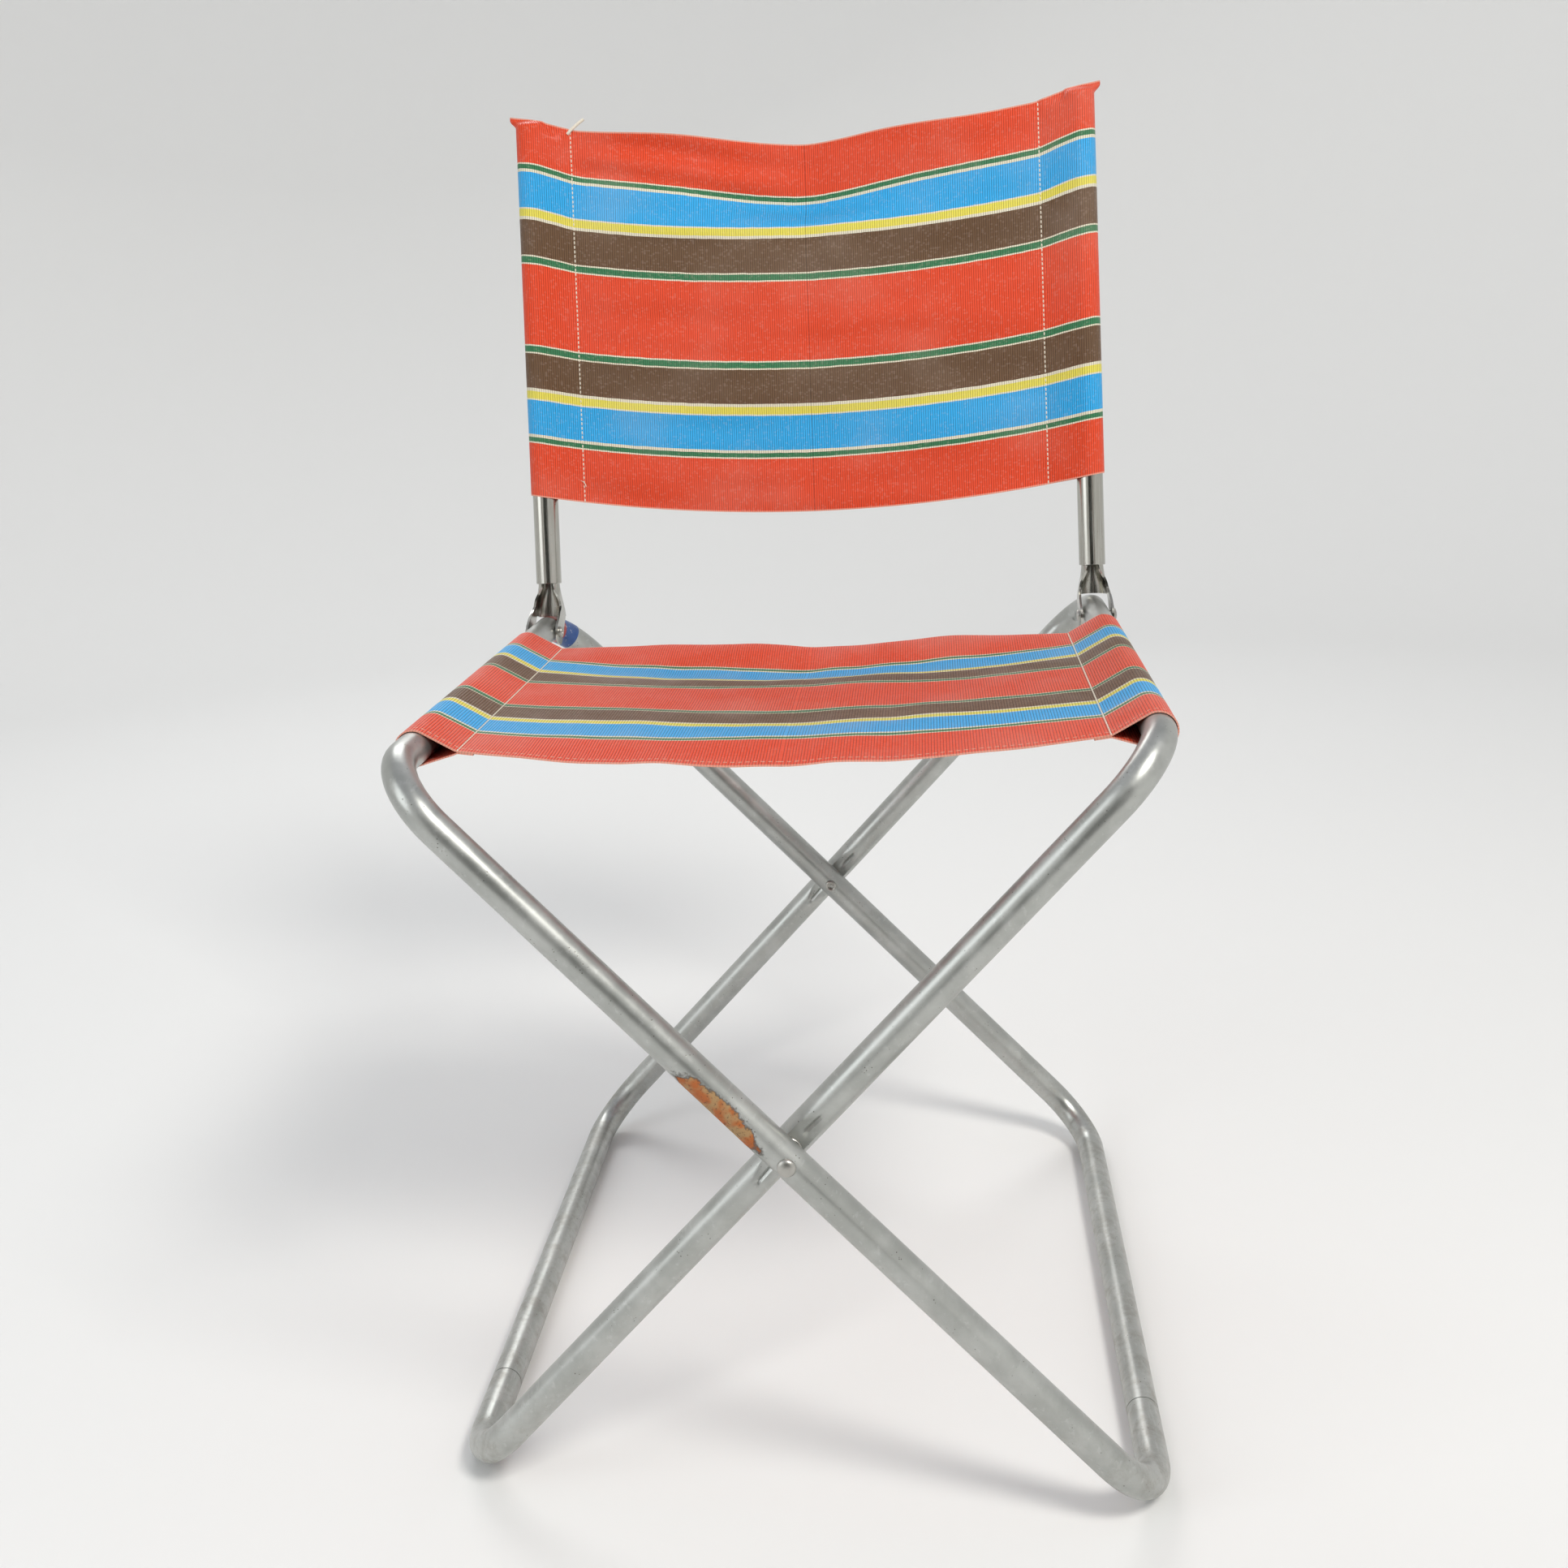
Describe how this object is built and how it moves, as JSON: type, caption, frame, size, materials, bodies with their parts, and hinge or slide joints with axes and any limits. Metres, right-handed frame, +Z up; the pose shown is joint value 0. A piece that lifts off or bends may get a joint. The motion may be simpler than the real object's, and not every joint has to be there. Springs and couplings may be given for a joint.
{
  "type": "folding camp chair",
  "caption": "Low folding chair with crossed tube loops pinned front and rear, a slung striped cloth seat, and a cloth back on posts hinged to the side rails.",
  "frame": {"origin": "on the ground, under the middle of the whole chair's box", "axes": "+Z up, -Y the way the sitter faces, +X to the right as seen by someone looking at the front of the chair"},
  "size_m": [0.4378, 0.4964, 0.8102],
  "materials": {
    "frame_tube": "satin silver paint on steel tube, specked and rusted in places",
    "post_tube": "semi-gloss bare steel",
    "hardware": "dull plated steel",
    "cloth": "glossy ribbed synthetic cloth with cross stripes",
    "cap": "matt dark plastic"
  },
  "bodies": {
    "root": {"front_pivot_rivet": "hardware", "rear_pivot_rivet": "hardware", "front_pivot_washer": "hardware", "rear_pivot_washer": "hardware", "seat_panel": "cloth"},
    "left_frame": {"left_frame_tube": "frame_tube", "left_frame_ferrule": "hardware", "left_hinge_rivet": "hardware", "left_seat_pocket": "cloth"},
    "right_frame": {"right_frame_tube": "frame_tube", "right_frame_ferrule": "hardware", "right_hinge_rivet": "hardware", "right_seat_pocket": "cloth"},
    "left_post": {"left_post_tube": "post_tube", "left_post_clevis": "post_tube", "left_post_cap": "cap", "left_back_pocket": "cloth", "back_panel": "cloth"},
    "right_post": {"right_post_tube": "post_tube", "right_post_clevis": "post_tube", "right_post_cap": "cap", "right_back_pocket": "cloth"}
  },
  "joints": [
    {"name": "left_frame_fold", "type": "hinge", "parent": "root", "child": "left_frame", "pos_m": [0, -0.00317, 0.21599], "axis": [0, 1, 0], "range_deg": [0, 30], "deforming": ["seat_panel", "back_panel"]},
    {"name": "right_frame_fold", "type": "hinge", "parent": "root", "child": "right_frame", "pos_m": [0, -0.00317, 0.21599], "axis": [0, 1, 0], "range_deg": [-30, 0]},
    {"name": "left_post_fold", "type": "hinge", "parent": "left_frame", "child": "left_post", "pos_m": [-0.204, 0.16232, 0.432], "axis": [1, 0, 0], "range_deg": [0, 98]},
    {"name": "right_post_fold", "type": "hinge", "parent": "right_frame", "child": "right_post", "pos_m": [0.204, 0.16232, 0.432], "axis": [1, 0, 0], "range_deg": [0, 98]}
  ],
  "couplings": [
    {"joint": "right_frame_fold", "follows": "left_frame_fold", "ratio": -1},
    {"joint": "left_post_fold", "follows": "left_frame_fold", "ratio": 3.2666},
    {"joint": "right_post_fold", "follows": "left_frame_fold", "ratio": 3.2666}
  ]
}
